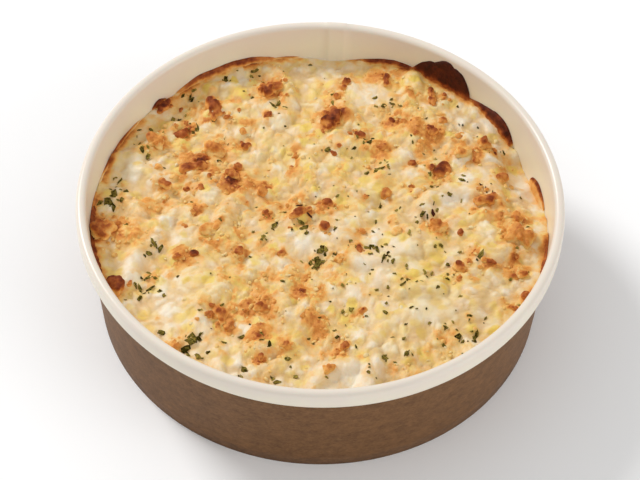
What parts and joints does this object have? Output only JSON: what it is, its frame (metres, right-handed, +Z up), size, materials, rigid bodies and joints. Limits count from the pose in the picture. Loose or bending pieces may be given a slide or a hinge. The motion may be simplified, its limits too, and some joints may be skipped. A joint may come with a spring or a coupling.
{
  "type": "mac and cheese",
  "caption": "Baked mac and cheese with a browned cheese top and parsley, in a low round paper bowl with a rolled rim.",
  "frame": {"origin": "centre of the foot ring, on the surface that the bowl stands on", "axes": "+Z up along the bowl's axis; -Y is the front, where the picture's camera stands; the side seam is at the back, +Y"},
  "size_m": [0.16, 0.16, 0.0465],
  "materials": {
    "kraft_paper": "uncoated brown paperboard outside, cream and lightly coated inside and on the rolled rim",
    "cream_paper": "cream coated paperboard, satin",
    "baked_cheese": "baked cheese sauce, moist and slightly glossy, browned in patches, with dried parsley"
  },
  "bodies": {
    "root": {"bowl_side": "kraft_paper", "bowl_base": "cream_paper", "macaroni_cheese": "baked_cheese"}
  },
  "joints": []
}
